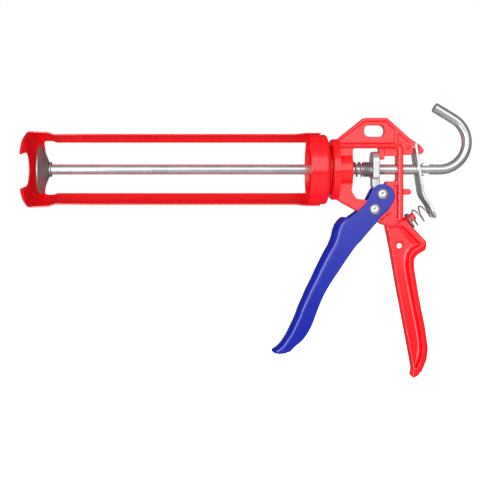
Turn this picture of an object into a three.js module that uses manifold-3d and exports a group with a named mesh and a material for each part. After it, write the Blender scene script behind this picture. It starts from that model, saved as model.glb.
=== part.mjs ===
// Caulking gun for standard cartridges, as separate parts. Millimetres.
// Built with the push rod's axis along X through the origin: +X to the rear (hook), -X to the nozzle,
// +Z up, Y across. The finished group is then moved so that its origin is the centre of the hand grip.
import * as THREE from "three";
import { mergeVertices } from "three/addons/utils/BufferGeometryUtils.js";
import Module from "manifold-3d";

const wasm = await Module();
wasm.setup();

const GRIP_CENTRE = new THREE.Vector3(60, 0, -98);
const GAP = 0.3;
const ROUND_SEGMENTS = 40;

// ---------- colours ----------
const RED_PAINT = new THREE.MeshStandardMaterial({ color: 0xd8101a, roughness: 0.35 });
const BLUE_PAINT = new THREE.MeshStandardMaterial({ color: 0x3038b0, roughness: 0.4 });
const BRIGHT_STEEL = new THREE.MeshStandardMaterial({ color: 0xc4c8cc, roughness: 0.25, metalness: 1 });
const DARK_STEEL = new THREE.MeshStandardMaterial({ color: 0x6c6e70, roughness: 0.4, metalness: 1 });

// ---------- push rod ----------
const ROD_R = 4;
const ROD_FRONT_X = -223.9;
const ROD_STUD_R = 3;
const ROD_STUD_FRONT_X = -232;
const ROD_SIDES = 20;
const HOOK_BEND = { leadX: 84, x: 87.9, r: 21.8, endDeg: 58.6 };
const HOOK_TAIL = 18.2;
const HOOK_STEP = 0.1;
const HOOK_STEPS = 24;
const EAR = { x0: 73.2, x1: 78.2, halfHeight: 5, halfWidth: 3 };
const ROD_BORE_R = 4.3;

// ---------- plunger ----------
const DISC = { rimX: -231.2, rimR: 19.5, hubX: -225.4, hubR: 6, thick: 1.2, boreR: 3.3 };
const COLLAR = { x0: -223.8, x1: -222.2, r: 6 };
const PLUNGER_NUT = { x0: -230.2, x1: -227.2, acrossFlats: 10 };
const LOCK_WASHER = { x0: -226.9, x1: -225.8, r: 5.2, boreR: 3.3, slit: 0.8 };

// ---------- carriage ----------
const SHEET = 1.2;
const CAP = { frontX: -243.4, rimX: -240.4, wallEndX: -231.6, r: 30.7, plateR: 26.6 };
const RAIL = { r: 28.4, joggleX0: -225.5, joggleX1: -220.5, flareX0: -27, flareX1: -19.8, flareR: 29.3, endX: -7 };
const RAIL_WINDOW = { half: 20.7, capHalf: 22, stepX0: -224.3, stepX1: -220.6, corner: 2.5 };
const NOZZLE_SLOT = { halfWidth: 13.4, endCentreY: 1 };
const CARRIAGE_TURN_DEG = 4.5;

// ---------- rear cup and swivel ----------
const CUP = { rimX: -17.2, shoulderX: -4.4, backX: -1.4, r: 27.8, backR: 23.8, thick: 1.2, boreR: 10.1 };
const CUP_SEAT = { r: 16, slope: 0.8, raise: 0.4 };
const SWIVEL_WASHER = { x0: -1.1, x1: -0.1, r: 20, boreR: 10.1 };
const RETAINER = { x0: -5.4, x1: -2.9, r: 15, boreR: 10 };
const NECK = { x0: -6.2, r: 9.7 };

// ---------- casting ----------
const FLANGE = { x0: 0.2, x1: 6.4, r: 24.2, chamfer: 1.3 };
const BOSS = { x1: 17.6, r: 12.4 };
const WEB_HALF = 6;
const THIN_WEB_HALF = 3.6;
const UPPER_FLOOR = 4.6;
const REAR_FLOOR = 5.3;
const LUG_PANEL_HALF = 3;
const BAR = { z0: 17, z1: 20.9, x0: 53.2, x1: 57.9, footZ: -41, half: 7, edge: 1.6, cornerR: 6, innerR: 1.5 };
const GRIP_HALF = 5.8;
const GRIP_EDGE = 1.3;
const RECESS_FLOOR = 1.8;
const HANG_SLOT = { x0: 27, x1: 43.6, z: 30.7, r: 4.7 };
const STOP_LUG = { x0: 39.1, x1: 43.3, z0: 7.7, half: 5 };
const PIVOT = { x: 34.9, z: -31.5 };
const DRIVE_PIN = { x: 41.1, z: -19.4 };
const GRIP_HOLE = { x: 55.8, z: -61, r: 2.1, chamferR: 3.1 };
const PEG = { x: 62.5, z: -40.2, r: 3.3, length: 6.2, sunk: 3.5 };
const PEG_AXIS = new THREE.Vector3(0.85, 0, 0.53);

// ---------- trigger, rivets, dog ----------
const TRIGGER_HALF = 8;
const TRIGGER_SHEET = 1.5;
const TRIGGER_BEND_R = 6.5;
const TRIGGER_EYE = { x: 41.3, z: -21.1, r: 9.5 };
const RIVET = { r: 2.5, headR: 4.3, headStart: 8.2, headEnd: 10.3 };
const RIVET_HOLE_R = 2.8;
const DOG = { x0: 33.4, x1: 38.6, half: 10, z0: -7.2, z1: 14.2, corner: 6, stemHalf: 5.3, eyeR: 3.9 };
const DOG_HOLE_DROP = 1.7;

// ---------- springs and catch plate ----------
const DRIVE_SPRING = { x0: 18.7, x1: 32.3, r: 5.35, wireR: 0.72, openTurns: 2, closedTurns: 3.5, closedPitch: 1.62 };
const PLATE = { half: 10, thick: 2, topZ: 20.8, tabZ: -38.2, corner: 2.6, tabCorner: 5 };
const PLATE_LINE = [[67.1, 20.8], [70.2, -1, 90], [73, -20.4, 12], [78.9, -29, 10], [82.9, -38.2]];
const PLATE_NOTCH = { half: 6.4, z: 17.2 };
const PLATE_HOLE_R = 4.7;
const PLATE_SLOT = { half: 2.2, topZ: -32 };
const CATCH_SPRING = {
  footX: 63.4, footZ: -41.6, r: 5.95, wireR: 0.55, closedTurns: 1.25, closedPitch: 1.2, openTurns: 2.25, openPitch: 6.1,
};

// ---------- outlines, as [x, z] or [x, z, corner radius] ----------
const CASTING_OUTLINE = [
  [3, 21.8], [27, 41, 3], [45.2, 41, 2.5], [63.1, 24.8, 8], [71.4, 19.2, 2], [74.6, 15, 1.5], [72.6, 12.2, 1.5],
  [69.9, 12.2, 0.8], [69.9, 18.9, 1.5], [66.3, 18.9, 1.5], [65.6, 11.8, 0.8], [57.9, 11.8, 0.8], [57.9, -15.6, 0.6],
  [64.2, -15.6, 2.2], [64.2, -20.1, 2.2], [57.9, -20.1, 0.6], [57.9, -40], [50, -46], [41.5, -44], [36.6, -40.4],
  [27, -36.8], [19.6, -32.1, 1], [11.5, -27.8], [3, -22.4],
];
const CASTING_WINDOW = [
  [17.9, 17, 2], [53.4, 17, 1.5], [53.4, -9.5, 2], [45, -9.5, 1.5], [43.8, -12.4, 1], [46.2, -15.2], [46.2, -24.2, 3],
  [30, -24.4], [20.5, -23.2, 4], [16.9, -17, 3], [17.9, -10.8],
];
const THIN_WEB = [
  [50.4, -12.4, 2], [54, -12.4], [54, -39.7], [53.6, -39.4], [47.6, -34.2], [40.6, -40.6], [36, -38], [44, -32], [50.4, -25],
];
const UPPER_POCKET = [[7.2, 21], [7.2, 23.5], [27.3, 38.3, 2], [44.2, 38.3, 1.5], [51.2, 31.7, 0.8], [51.2, 21, 2.5]];
const REAR_POCKET = [[53.6, 29.4, 0.6], [53.6, 21.4, 0.6], [62.6, 21.4, 0.6]];
const LUG_PANEL = [[43, 10.8], [53.8, 10.8], [53.8, 17.4], [43, 17.4]];
const GRIP_OUTLINE = [
  [57.9, -39], [61, -40.8], [65.3, -45.6], [76.3, -57.3, 3], [76.9, -61.4, 3], [68.6, -66.2, 5], [65.4, -70, 5],
  [65.4, -79, 12], [69, -101, 20], [74.2, -126, 20], [76.6, -142, 18], [75.4, -152, 8], [70.6, -163.6],
  [66.2, -166], [64.4, -164.6], [65.4, -158.5], [62.7, -143.4, 40], [53, -92.7, 60], [46.3, -54.5, 20], [44.4, -45.6, 4],
  [46, -42.4],
];
const GRIP_RECESS = [
  [46.9, -45.4, 1.2], [57.9, -45.4, 2.5], [72.6, -60, 1.5], [65.4, -63.8, 4], [62.3, -70, 5], [62.2, -77, 8],
  [66.2, -101, 20], [71.4, -127, 20], [73.4, -142, 10], [72, -151, 6], [67.6, -160.4, 1.5], [64.6, -145.4, 20],
  [54.9, -94, 40], [48.2, -57, 10],
];
// Where the grip thins to the web above it: the outline on the web and the outline on the grip's face.
const SHOULDER_FOOT = [[40.6, -40.6], [43.6, -44.2], [45, -47], [57.9, -47], [57.9, -39.4], [53.6, -39.4], [47.6, -34.2]];
const SHOULDER_TOP = [[45.9, -44], [45.9, -45.4], [46.4, -47], [57.9, -47], [57.9, -44], [53.6, -44], [48, -44]];
// The trigger's channel in side view: points along its front with the rear edge's points opposite to them.
const TRIGGER_FRONT = [
  [9.2, -37.9], [6.4, -40.3], [3.8, -43.9], [2.1, -48.5], [1, -53.5], [-0.8, -58.4], [-4.9, -65.8], [-8.1, -72.1],
  [-11.7, -79.4], [-15.4, -87.6], [-19.1, -94.9], [-22.2, -102.1], [-25.4, -109.4], [-28.1, -116.8], [-31.4, -124],
  [-35, -131.3], [-39.6, -138.6], [-42.9, -141.9],
];
const TRIGGER_REAR = [
  [36.2, -40.4], [33.4, -43.4], [29.6, -47.6], [25.6, -52.3], [21.2, -57.5], [16.8, -62.6], [9.8, -72.6],
  [5.4, -79.2], [1.2, -85.5], [-3.8, -93.4], [-7.6, -100.6], [-10.6, -107.5], [-13.2, -114.5], [-15.9, -121.6],
  [-19.1, -128.1], [-23.6, -134.5], [-29.9, -140.2], [-34.2, -144.4],
];
const TRIGGER_END = [
  [-39, -138.4], [-30.4, -140.6], [-34, -144.5, 5], [-40, -146.4, 8], [-46.8, -143.9, 2.5], [-43, -141],
];
const TRIGGER_END_EDGE = 0.6;
const TRIGGER_CHEEK = [
  [14.9, -37.9], [21.6, -33.1, 3], [27.6, -27, 6], [33.1, -16.3], [41.3, -21.1], [48.8, -26.9], [45.4, -32.4, 6],
  [35.8, -40.9, 40], [29.6, -47.6],
];

// ---------- helpers ----------
const CORNER_STEPS = 3;

// Replaces each vertex that has a radius by a short curve that is tangent to both sides.
function outline(vertices) {
  const count = vertices.length;
  return vertices.flatMap(([x, z, radius], i) => {
    const corner = new THREE.Vector2(x, z);
    if (!radius) return [corner];
    const toward = (j) => new THREE.Vector2(vertices[j][0], vertices[j][1]).sub(corner);
    const before = toward((i + count - 1) % count);
    const after = toward((i + 1) % count);
    const halfAngle = before.angleTo(after) / 2;
    const reach = Math.min(radius / Math.tan(halfAngle), before.length() * 0.48, after.length() * 0.48);
    const start = corner.clone().addScaledVector(before.normalize(), reach);
    const end = corner.clone().addScaledVector(after.normalize(), reach);
    return new THREE.QuadraticBezierCurve(start, corner, end).getPoints(CORNER_STEPS);
  });
}

// Turns a geometry into a solid whose faces look outward.
function solidOf(geometry) {
  const bare = geometry.clone();
  for (const name of Object.keys(bare.attributes)) {
    if (name !== "position") bare.deleteAttribute(name);
  }
  const welded = mergeVertices(bare, 1e-6);
  const position = welded.attributes.position.array;
  const index = Array.from(welded.index.array);
  const triangles = [];
  let volume = 0;
  const at = (k) => new THREE.Vector3().fromArray(position, 3 * k);
  for (let i = 0; i < index.length; i += 3) {
    const [a, b, c] = index.slice(i, i + 3);
    if (a === b || b === c || c === a) continue;
    triangles.push(a, b, c);
    volume += at(a).dot(at(b).cross(at(c)));
  }
  if (volume < 0) triangles.reverse();
  const mesh = { numProp: 3, vertProperties: new Float32Array(position), triVerts: new Uint32Array(triangles) };
  return new wasm.Manifold(new wasm.Mesh(mesh));
}

function geometryOf(solid) {
  const { numProp, vertProperties, triVerts } = solid.getMesh();
  const positions = new Float32Array((vertProperties.length / numProp) * 3);
  for (let i = 0; i < positions.length / 3; i++) {
    for (let axis = 0; axis < 3; axis++) positions[3 * i + axis] = vertProperties[numProp * i + axis];
  }
  const geometry = new THREE.BufferGeometry();
  geometry.setAttribute("position", new THREE.BufferAttribute(positions, 3));
  geometry.setIndex(new THREE.BufferAttribute(new Uint32Array(triVerts), 1));
  return geometry;
}

// A plate cut to an outline in the XZ plane, from y0 to y1, with its long edges optionally rounded.
function plate(vertices, y0, y1, edge = 0, edgeSteps = 2) {
  const shape = new THREE.Shape(outline(vertices));
  const options = {
    depth: y1 - y0 - 2 * edge,
    bevelEnabled: edge > 0,
    bevelThickness: edge,
    bevelSize: edge,
    bevelOffset: -edge,
    bevelSegments: edgeSteps,
    curveSegments: CORNER_STEPS,
  };
  const geometry = new THREE.ExtrudeGeometry(shape, options);
  return solidOf(geometry.rotateX(Math.PI / 2).translate(0, y1 - edge, 0));
}

const midPlate = (vertices, half, edge = 0) => plate(vertices, -half, half, edge);

// A solid turned about the X axis from a closed profile of [x, radius] points.
function turned(profile, segments = ROUND_SEGMENTS) {
  const points = profile.map(([x, r]) => new THREE.Vector2(r, x));
  return solidOf(new THREE.LatheGeometry([...points, points[0]], segments).rotateZ(-Math.PI / 2));
}

const ring = (x0, x1, r, boreR, segments) => turned([[x0, boreR], [x0, r], [x1, r], [x1, boreR]], segments);

function cylinderX(x0, x1, r, segments = 32, y = 0, z = 0) {
  const geometry = new THREE.CylinderGeometry(r, r, x1 - x0, segments).rotateZ(-Math.PI / 2);
  return solidOf(geometry.translate((x0 + x1) / 2, y, z));
}

function cylinderY(x, z, r, y0, y1, segments = 24) {
  const geometry = new THREE.CylinderGeometry(r, r, y1 - y0, segments);
  return solidOf(geometry.translate(x, (y0 + y1) / 2, z));
}

function block(x0, x1, y0, y1, z0, z1) {
  const geometry = new THREE.BoxGeometry(x1 - x0, y1 - y0, z1 - z0);
  return solidOf(geometry.translate((x0 + x1) / 2, (y0 + y1) / 2, (z0 + z1) / 2));
}

// A closed skin through equal rings of points, with a flat cap at each end.
function loft(rings, capOutline) {
  const size = rings[0].length;
  const positions = rings.flat().flatMap((point) => point.toArray());
  const index = [];
  for (let i = 0; i + 1 < rings.length; i++) {
    for (let j = 0; j < size; j++) {
      const a = i * size + j;
      const b = i * size + ((j + 1) % size);
      index.push(a, a + size, b, b, a + size, b + size);
    }
  }
  const last = (rings.length - 1) * size;
  for (const [a, b, c] of THREE.ShapeUtils.triangulateShape(capOutline, [])) {
    index.push(a, b, c, last + a, last + c, last + b);
  }
  const geometry = new THREE.BufferGeometry();
  geometry.setAttribute("position", new THREE.Float32BufferAttribute(positions, 3));
  geometry.setIndex(index);
  return geometry;
}

// Round wire of even thickness along a curve.
function wire(curve, radius, steps, sides) {
  const circle = new THREE.Path().absarc(0, 0, radius, 0, 2 * Math.PI).getPoints(sides / 2);
  const section = new THREE.Shape(circle.slice(1));
  return solidOf(new THREE.ExtrudeGeometry(section, { steps, extrudePath: curve, bevelEnabled: false }));
}

// ---------- carriage ----------
function carriageTube() {
  const inset = SHEET;
  const outer = [
    [CAP.frontX, CAP.plateR], [CAP.frontX + 1.2, CAP.r - 1.4], [CAP.frontX + 3.2, CAP.r], [RAIL.joggleX0, CAP.r - 0.6],
    [RAIL.joggleX1, RAIL.r], [RAIL.flareX0, RAIL.r], [RAIL.flareX1, RAIL.flareR], [RAIL.endX, RAIL.flareR],
  ];
  const inner = [
    [RAIL.endX, RAIL.flareR - inset], [RAIL.flareX1, RAIL.flareR - inset], [RAIL.flareX0, RAIL.r - inset],
    [RAIL.joggleX1, RAIL.r - inset], [RAIL.joggleX0, CAP.r - 0.6 - inset], [CAP.frontX + 3.6, CAP.r - inset],
    [CAP.frontX + 2.2, CAP.r - 2.2], [CAP.frontX + inset, CAP.plateR - 0.8], [CAP.frontX + inset, 0],
    [CAP.frontX, 0],
  ];
  return turned([...outer, ...inner]);
}

function nozzleSlot() {
  const x0 = CAP.frontX - 5;
  const x1 = CAP.rimX + 1;
  const half = NOZZLE_SLOT.halfWidth;
  const straight = block(x0, x1, -2 * CAP.r, NOZZLE_SLOT.endCentreY, -half, half);
  return straight.add(cylinderX(x0, x1, half, 32, NOZZLE_SLOT.endCentreY));
}

// The opening in the far side between the cap wall and the rear end, with rounded front corners.
function railWindow() {
  const { half, capHalf, stepX0, stepX1, corner } = RAIL_WINDOW;
  const x0 = CAP.wallEndX;
  const x1 = -RAIL.endX;
  const opening = [
    [x0, capHalf, corner], [x0, -capHalf, corner], [stepX0, -capHalf], [stepX1, -half], [x1, -half],
    [x1, half], [stepX1, half], [stepX0, capHalf],
  ];
  return plate(opening, 0, 2 * CAP.r);
}

function carriageFrame() {
  const openSide = block(CAP.rimX, RAIL.endX + 5, -2 * CAP.r, 0, -2 * CAP.r, 2 * CAP.r);
  return carriageTube().subtract(openSide).subtract(nozzleSlot()).subtract(railWindow());
}

// The floor has a low raised ring outside `CUP_SEAT.r`, on which the cartridge's rear rim stands.
function rearCup() {
  const { rimX, shoulderX, backX, r, backR, thick, boreR } = CUP;
  const seatX = backX - CUP_SEAT.raise;
  const seatR = CUP_SEAT.r + CUP_SEAT.slope;
  return turned([
    [rimX, r - thick], [rimX, r], [shoulderX, r], [shoulderX + 1.4, r - 0.9], [seatX, backR], [seatX, seatR],
    [backX, CUP_SEAT.r], [backX, boreR], [backX - thick, boreR], [backX - thick, CUP_SEAT.r],
    [seatX - thick, seatR], [seatX - thick, backR - 0.6], [shoulderX + 0.4, r - thick - 1],
    [shoulderX - 0.6, r - thick],
  ]);
}

const swivelWasher = () => ring(SWIVEL_WASHER.x0, SWIVEL_WASHER.x1, SWIVEL_WASHER.r, SWIVEL_WASHER.boreR, 32);
const swivelRetainer = () => ring(RETAINER.x0, RETAINER.x1, RETAINER.r, RETAINER.boreR, 32);

// ---------- casting ----------
function swivelAndBoss() {
  const { x0, x1, r, chamfer } = FLANGE;
  return turned([
    [NECK.x0, 0], [NECK.x0, NECK.r], [x0, NECK.r], [x0, r - chamfer], [x0 + chamfer, r], [x1, r], [x1, BOSS.r],
    [BOSS.x1 - 0.6, BOSS.r], [BOSS.x1, BOSS.r - 0.6], [BOSS.x1, 0],
  ]);
}

// Takes an outline away from both sides, down to a half thickness.
function sideCuts(vertices, half) {
  return plate(vertices, half, 2 * WEB_HALF).add(plate(vertices, -2 * WEB_HALF, -half));
}

function hangSlot() {
  const { x0, x1, z, r } = HANG_SLOT;
  const slot = [[x0, z - r, r], [x1, z - r, r], [x1, z + r, r], [x0, z + r, r]];
  return midPlate(slot, WEB_HALF);
}

function castingWeb() {
  const lug = [
    [STOP_LUG.x0, 17.5], [STOP_LUG.x0, STOP_LUG.z0, 2], [STOP_LUG.x1, STOP_LUG.z0, 2], [STOP_LUG.x1, 17.5],
  ];
  return midPlate(CASTING_OUTLINE, WEB_HALF, 0.5)
    .subtract(midPlate(CASTING_WINDOW, 2 * WEB_HALF))
    .subtract(sideCuts(THIN_WEB, THIN_WEB_HALF))
    .subtract(sideCuts(UPPER_POCKET, UPPER_FLOOR))
    .subtract(sideCuts(REAR_POCKET, REAR_FLOOR))
    .subtract(hangSlot())
    .add(midPlate(lug, STOP_LUG.half))
    .add(midPlate(LUG_PANEL, LUG_PANEL_HALF));
}

function gripShoulder() {
  const foot = THIN_WEB_HALF - 0.3;
  const ringAt = (vertices, y) => vertices.map(([x, z]) => new THREE.Vector3(x, y, z));
  const flat = SHOULDER_TOP.map(([x, z]) => new THREE.Vector2(x, z));
  return solidOf(loft([
    ringAt(SHOULDER_TOP, -GRIP_HALF), ringAt(SHOULDER_FOOT, -foot), ringAt(SHOULDER_FOOT, foot),
    ringAt(SHOULDER_TOP, GRIP_HALF),
  ], flat));
}

function grip() {
  const { x, z, r, chamferR } = GRIP_HOLE;
  const countersink = cylinderY(x, z, chamferR, -RECESS_FLOOR - 1, -RECESS_FLOOR + 0.8);
  return midPlate(GRIP_OUTLINE, GRIP_HALF, GRIP_EDGE)
    .add(gripShoulder())
    .subtract(sideCuts(GRIP_RECESS, RECESS_FLOOR))
    .subtract(cylinderY(x, z, r, -GRIP_HALF, GRIP_HALF))
    .subtract(countersink);
}

function springPeg() {
  const { r, length, sunk } = PEG;
  const geometry = new THREE.CylinderGeometry(r - 0.4, r, length + sunk, 20).translate(0, (length - sunk) / 2, 0);
  const turn = new THREE.Quaternion().setFromUnitVectors(new THREE.Vector3(0, 1, 0), PEG_AXIS.clone().normalize());
  return solidOf(geometry.applyQuaternion(turn).translate(PEG.x, 0, PEG.z));
}

// The round-edged bar over the window, which turns down into the post that carries the rod's rear bearing.
function frameBar() {
  const { z0, z1, x0, x1, footZ, half, edge, cornerR, innerR } = BAR;
  const start = FLANGE.x1 - 2;
  return midPlate([
    [start, z0], [x0, z0, innerR], [x0, footZ], [x1, footZ], [x1, z1, cornerR], [start, z1],
  ], half, edge);
}

function handleBody() {
  const bump = cylinderY(61.5, 17.6, 1.3, -WEB_HALF - 0.6, 0, 12);
  return castingWeb()
    .add(swivelAndBoss())
    .add(frameBar())
    .add(grip())
    .add(springPeg())
    .add(bump)
    .subtract(cylinderX(NECK.x0 - 1, BAR.x1 + 9, ROD_BORE_R, 28))
    .subtract(cylinderY(PIVOT.x, PIVOT.z, RIVET_HOLE_R, -2 * GRIP_HALF, 2 * GRIP_HALF));
}

// ---------- trigger ----------
// Half of a U-shaped section, as [distance behind the front, distance across]: the rear edge, then the bend.
function halfSection(depth, half, bendR, start) {
  const bend = [0, 22.5, 45, 67.5, 90].map((degrees) => {
    const turn = (degrees * Math.PI) / 180;
    return [start + bendR * (1 - Math.sin(turn)), half - bendR * (1 - Math.cos(turn))];
  });
  return [[depth, half], ...bend];
}

// One section between a front point and a rear point of the side profile.
function triggerSection([frontX, frontZ], [rearX, rearZ]) {
  const front = new THREE.Vector3(frontX, 0, frontZ);
  const back = new THREE.Vector3(rearX, 0, rearZ).sub(front);
  const depth = back.length();
  back.normalize();
  const bendR = Math.min(TRIGGER_BEND_R, depth - TRIGGER_SHEET);
  const outer = halfSection(depth, TRIGGER_HALF, bendR, 0);
  const inner = halfSection(depth, TRIGGER_HALF - TRIGGER_SHEET, bendR - TRIGGER_SHEET, TRIGGER_SHEET);
  const across = (points) => points.map(([along, y]) => [along, -y]);
  const section = [...outer, ...across(outer.toReversed()), ...across(inner), ...inner.toReversed()];
  return {
    ring: section.map(([along, y]) => front.clone().addScaledVector(back, along).setY(y)),
    flat: section.map(([along, y]) => new THREE.Vector2(along, y)),
  };
}

function triggerChannel() {
  const sections = TRIGGER_FRONT.map((front, i) => triggerSection(front, TRIGGER_REAR[i]));
  return solidOf(loft(sections.map((section) => section.ring), sections[0].flat));
}

function triggerCheek(y0, y1) {
  const { x, z, r } = TRIGGER_EYE;
  return plate(TRIGGER_CHEEK, y0, y1).add(cylinderY(x, z, r, y0, y1, 36));
}

function trigger() {
  const inside = TRIGGER_HALF - TRIGGER_SHEET;
  return triggerChannel()
    .add(midPlate(TRIGGER_END, inside, TRIGGER_END_EDGE))
    .add(triggerCheek(-TRIGGER_HALF, -inside))
    .add(triggerCheek(inside, TRIGGER_HALF))
    .subtract(cylinderY(PIVOT.x, PIVOT.z, RIVET_HOLE_R, -2 * TRIGGER_HALF, 2 * TRIGGER_HALF))
    .subtract(cylinderY(DRIVE_PIN.x, DRIVE_PIN.z, RIVET_HOLE_R, -2 * TRIGGER_HALF, 2 * TRIGGER_HALF));
}

// A rivet across the trigger with a low domed head at each end.
function rivet({ x, z }) {
  const { r, headR, headStart, headEnd } = RIVET;
  const rise = headEnd - headStart;
  const half = [[r, 0], [r, headStart], [headR, headStart], [headR - 0.2, headStart + 0.45 * rise]];
  half.push([headR * 0.66, headStart + 0.85 * rise], [0, headEnd]);
  const profile = [...half.slice().reverse().map(([radius, y]) => [radius, -y]), ...half.slice(1)];
  const points = profile.map(([radius, y]) => new THREE.Vector2(radius, y));
  return solidOf(new THREE.LatheGeometry(points, 18).translate(x, 0, z));
}

// ---------- drive dog ----------
function dogPlate() {
  const { x0, x1, half, z0, z1, corner } = DOG;
  const face = outline([[-half, z0, 1], [half, z0, 1], [half, z1, corner], [-half, z1, corner]]);
  const options = { depth: x1 - x0 - 0.8, bevelThickness: 0.4, bevelSize: 0.4, bevelOffset: -0.4, bevelSegments: 1 };
  const geometry = new THREE.ExtrudeGeometry(new THREE.Shape(face), options);
  geometry.rotateX(Math.PI / 2).rotateZ(Math.PI / 2).translate(x0 + 0.4, 0, 0);
  return solidOf(geometry);
}

// The hole is longer than wide, so that the dog can rise and drop on the rod.
function dogHole() {
  const x0 = DOG.x0 - 1;
  const x1 = DOG.x1 + 1;
  return cylinderX(x0, x1, ROD_BORE_R, 28)
    .add(cylinderX(x0, x1, ROD_BORE_R, 28, 0, -DOG_HOLE_DROP))
    .add(block(x0, x1, -ROD_BORE_R, ROD_BORE_R, -DOG_HOLE_DROP, 0));
}

function driveDog() {
  const { x0, x1, z0, stemHalf, eyeR } = DOG;
  const stem = [
    [x0, z0 + 1], [x0, -13, 3], [DRIVE_PIN.x - eyeR, DRIVE_PIN.z], [DRIVE_PIN.x + eyeR, DRIVE_PIN.z],
    [x1 + 0.8, -12, 3], [x1 + 0.8, -8], [x1, z0 + 1],
  ];
  return dogPlate()
    .add(midPlate(stem, stemHalf, 0.3))
    .add(cylinderY(DRIVE_PIN.x, DRIVE_PIN.z, eyeR, -stemHalf, stemHalf))
    .subtract(dogHole())
    .subtract(cylinderY(DRIVE_PIN.x, DRIVE_PIN.z, RIVET_HOLE_R, -2 * stemHalf, 2 * stemHalf));
}

// ---------- springs ----------
const SPRING_STEPS = 14;
const SPRING_SIDES = 6;

// A coil round `axis` from `base`. `rise` gives the height along the axis for a turn count.
class Coil extends THREE.Curve {
  constructor(base, axis, radius, turns, rise) {
    super();
    Object.assign(this, { base, axis, radius, turns, rise });
    this.u = new THREE.Vector3(0, 1, 0);
    this.v = axis.clone().cross(this.u);
  }

  getPoint(t) {
    const turn = this.turns * t;
    const angle = 2 * Math.PI * turn;
    return this.base.clone()
      .addScaledVector(this.axis, this.rise(turn))
      .addScaledVector(this.u, this.radius * Math.cos(angle))
      .addScaledVector(this.v, this.radius * Math.sin(angle));
  }
}

function driveSpring() {
  const { x0, x1, r, wireR, openTurns, closedTurns, closedPitch } = DRIVE_SPRING;
  const openLength = x1 - x0 - closedTurns * closedPitch;
  const rise = (turn) =>
    turn < openTurns ? (openLength * turn) / openTurns : openLength + (turn - openTurns) * closedPitch;
  const turns = openTurns + closedTurns;
  const line = new Coil(new THREE.Vector3(x0, 0, 0), new THREE.Vector3(1, 0, 0), r, turns, rise);
  return wire(line, wireR, turns * SPRING_STEPS, SPRING_SIDES);
}

function catchSpring() {
  const { footX, footZ, r, wireR, closedTurns, closedPitch, openTurns, openPitch } = CATCH_SPRING;
  const foot = new THREE.Vector3(footX, 0, footZ);
  const rise = (turn) => closedPitch * Math.min(turn, closedTurns) + openPitch * Math.max(turn - closedTurns, 0);
  const turns = closedTurns + openTurns;
  const line = new Coil(foot, PEG_AXIS.clone().normalize(), r, turns, rise);
  return wire(line, wireR, Math.round(turns * SPRING_STEPS), SPRING_SIDES);
}

// ---------- catch plate ----------
// The two long sides of a strip of even thickness, round its centre line of [x, z, bend radius] points.
function stripAround(line, thick) {
  const at = ([x, z]) => new THREE.Vector2(x, z);
  const sides = line.map((point, i) => {
    const before = at(line[Math.max(i - 1, 0)]);
    const after = at(line[Math.min(i + 1, line.length - 1)]);
    const direction = after.sub(before).normalize();
    return new THREE.Vector2(-direction.y, direction.x).multiplyScalar(thick / 2);
  });
  const moved = (sign) => line.map(([x, z, r], i) => [x + sign * sides[i].x, z + sign * sides[i].y, r]);
  return [...moved(1), ...moved(-1).toReversed()];
}

function catchPlate() {
  const { half, thick, topZ, tabZ, corner, tabCorner } = PLATE;
  const notch = PLATE_NOTCH.half;
  const face = [
    [-half, topZ + 1, corner], [-notch, topZ + 1], [-notch, PLATE_NOTCH.z], [notch, PLATE_NOTCH.z],
    [notch, topZ + 1], [half, topZ + 1, corner], [half, tabZ - 1, tabCorner], [-half, tabZ - 1, tabCorner],
  ];
  const blank = new THREE.ExtrudeGeometry(new THREE.Shape(outline(face)), { depth: 40, bevelEnabled: false });
  blank.rotateX(Math.PI / 2).rotateZ(Math.PI / 2).translate(55, 0, 0);
  const { half: slotHalf, topZ: slotZ } = PLATE_SLOT;
  return midPlate(stripAround(PLATE_LINE, thick), half)
    .intersect(solidOf(blank))
    .subtract(cylinderX(60, 80, PLATE_HOLE_R, 28))
    .subtract(cylinderX(70, 95, slotHalf, 24, 0, slotZ))
    .subtract(block(70, 95, -slotHalf, slotHalf, tabZ - 2, slotZ));
}

// ---------- rod and plunger ----------
// The bent end: a short straight lead, the round bend and the straight tail.
function hookLine() {
  const { x, r, endDeg, leadX } = HOOK_BEND;
  const point = (px, pz) => new THREE.Vector3(px, 0, pz);
  const onBend = (angle) => point(x + r * Math.cos(angle), r + r * Math.sin(angle));
  const end = (endDeg * Math.PI) / 180;
  const tailEnd = onBend(end).add(point(-Math.sin(end), Math.cos(end)).multiplyScalar(HOOK_TAIL));
  const arc = new THREE.Curve();
  arc.getPoint = (t) => onBend(-Math.PI / 2 + (end + Math.PI / 2) * t);
  const line = new THREE.CurvePath();
  line.add(new THREE.LineCurve3(point(leadX, 0), point(x, 0)));
  line.add(arc);
  line.add(new THREE.LineCurve3(onBend(end), tailEnd));
  return line;
}

function pushRod() {
  const { x0, x1, halfHeight, halfWidth } = EAR;
  const flush = ROD_R - 0.6;
  const ears = [
    [x0, -flush], [x0 + 1, -halfHeight, 0.8], [x1 - 1, -halfHeight, 0.8], [x1, -flush],
    [x1, flush], [x1 - 1, halfHeight, 0.8], [x0 + 1, halfHeight, 0.8], [x0, flush],
  ];
  return cylinderX(ROD_FRONT_X, HOOK_BEND.leadX + 2, ROD_R, ROD_SIDES)
    .add(wire(hookLine(), ROD_R - HOOK_STEP, HOOK_STEPS, ROD_SIDES))
    .add(midPlate(ears, halfWidth))
    .add(cylinderX(ROD_STUD_FRONT_X, ROD_FRONT_X + 1, ROD_STUD_R, ROD_SIDES));
}

function plungerDisc() {
  const { rimX, rimR, hubX, hubR, thick, boreR } = DISC;
  return turned([
    [rimX, rimR], [rimX + thick, rimR], [hubX + thick, hubR], [hubX + thick, boreR], [hubX, boreR],
    [hubX, hubR - 0.4], [rimX, rimR - 1.5],
  ]);
}

const plungerCollar = () => ring(COLLAR.x0, COLLAR.x1, COLLAR.r, ROD_BORE_R, 32);

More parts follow.
